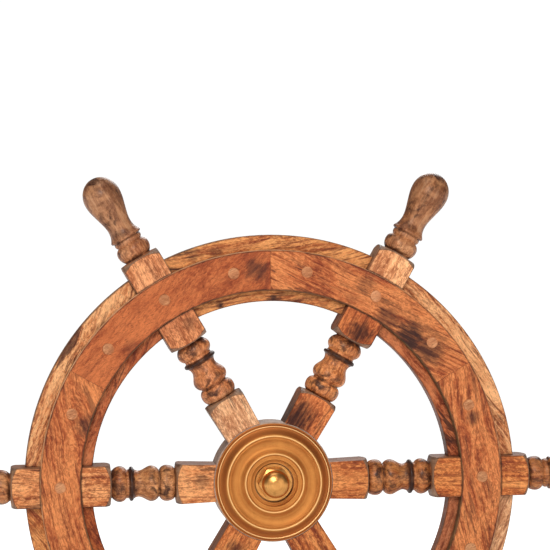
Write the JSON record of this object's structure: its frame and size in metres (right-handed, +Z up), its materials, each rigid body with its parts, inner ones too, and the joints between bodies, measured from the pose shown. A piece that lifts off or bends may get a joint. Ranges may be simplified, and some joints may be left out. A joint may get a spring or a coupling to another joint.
{
  "type": "ship steering wheel",
  "caption": "Wooden ship steering wheel: turned spoke handles, segmented rim with bunged screws, ringed brass hub, keyed to a helm shaft in a flanged bulkhead bearing.",
  "frame": {"origin": "centre of the bearing flange's mounting face, on the axis that the wheel turns about", "axes": "+Z up; +Y along the spin axis, from the wheel into the bulkhead, so the wheel faces -Y; +X to the right as the helmsman sees it"},
  "size_m": [0.61, 0.197, 0.5324],
  "materials": {
    "spoke_wood": "oiled hardwood, light sheen",
    "felloe_wood": "oiled hardwood, light sheen",
    "ring_wood": "oiled hardwood, light sheen",
    "bung_wood": "oiled hardwood, end pared flush",
    "nave_wood": "oiled hardwood",
    "plate_brass": "spun and polished brass",
    "fastener_brass": "machined brass",
    "bearing_bronze": "machined bearing bronze",
    "cast_bronze": "cast bronze, satin",
    "shaft_steel": "turned stainless steel"
  },
  "bodies": {
    "bearing": {"bearing_housing": "cast_bronze", "front_bush": "bearing_bronze", "rear_bush": "bearing_bronze"},
    "wheel": {"collar_screw": "shaft_steel", "felloe_1": "felloe_wood", "felloe_2": "felloe_wood", "felloe_3": "felloe_wood", "felloe_4": "felloe_wood", "felloe_5": "felloe_wood", "felloe_6": "felloe_wood", "front_plugs": "bung_wood", "front_ring_1": "ring_wood", "front_ring_2": "ring_wood", "front_ring_3": "ring_wood", "front_ring_4": "ring_wood", "front_ring_5": "ring_wood", "front_ring_6": "ring_wood", "front_screws": "fastener_brass", "front_thrust_washer": "bearing_bronze", "helm_shaft": "shaft_steel", "hub_bolts": "fastener_brass", "hub_front_plate": "plate_brass", "hub_key": "shaft_steel", "hub_nave": "nave_wood", "hub_nut": "fastener_brass", "hub_rear_plate": "plate_brass", "hub_sleeve": "bearing_bronze", "hub_washer": "fastener_brass", "rear_plugs": "bung_wood", "rear_ring_1": "ring_wood", "rear_ring_2": "ring_wood", "rear_ring_3": "ring_wood", "rear_ring_4": "ring_wood", "rear_ring_5": "ring_wood", "rear_ring_6": "ring_wood", "rear_screws": "fastener_brass", "rear_thrust_washer": "bearing_bronze", "shaft_collar": "shaft_steel", "spoke_1": "spoke_wood", "spoke_2": "spoke_wood", "spoke_3": "spoke_wood", "spoke_4": "spoke_wood", "spoke_5": "spoke_wood", "spoke_6": "spoke_wood"}
  },
  "joints": [
    {"name": "wheel_spin", "type": "hinge", "parent": "bearing", "child": "wheel", "pos_m": [0, 0, 0], "axis": [0, 1, 0], "continuous": true}
  ]
}
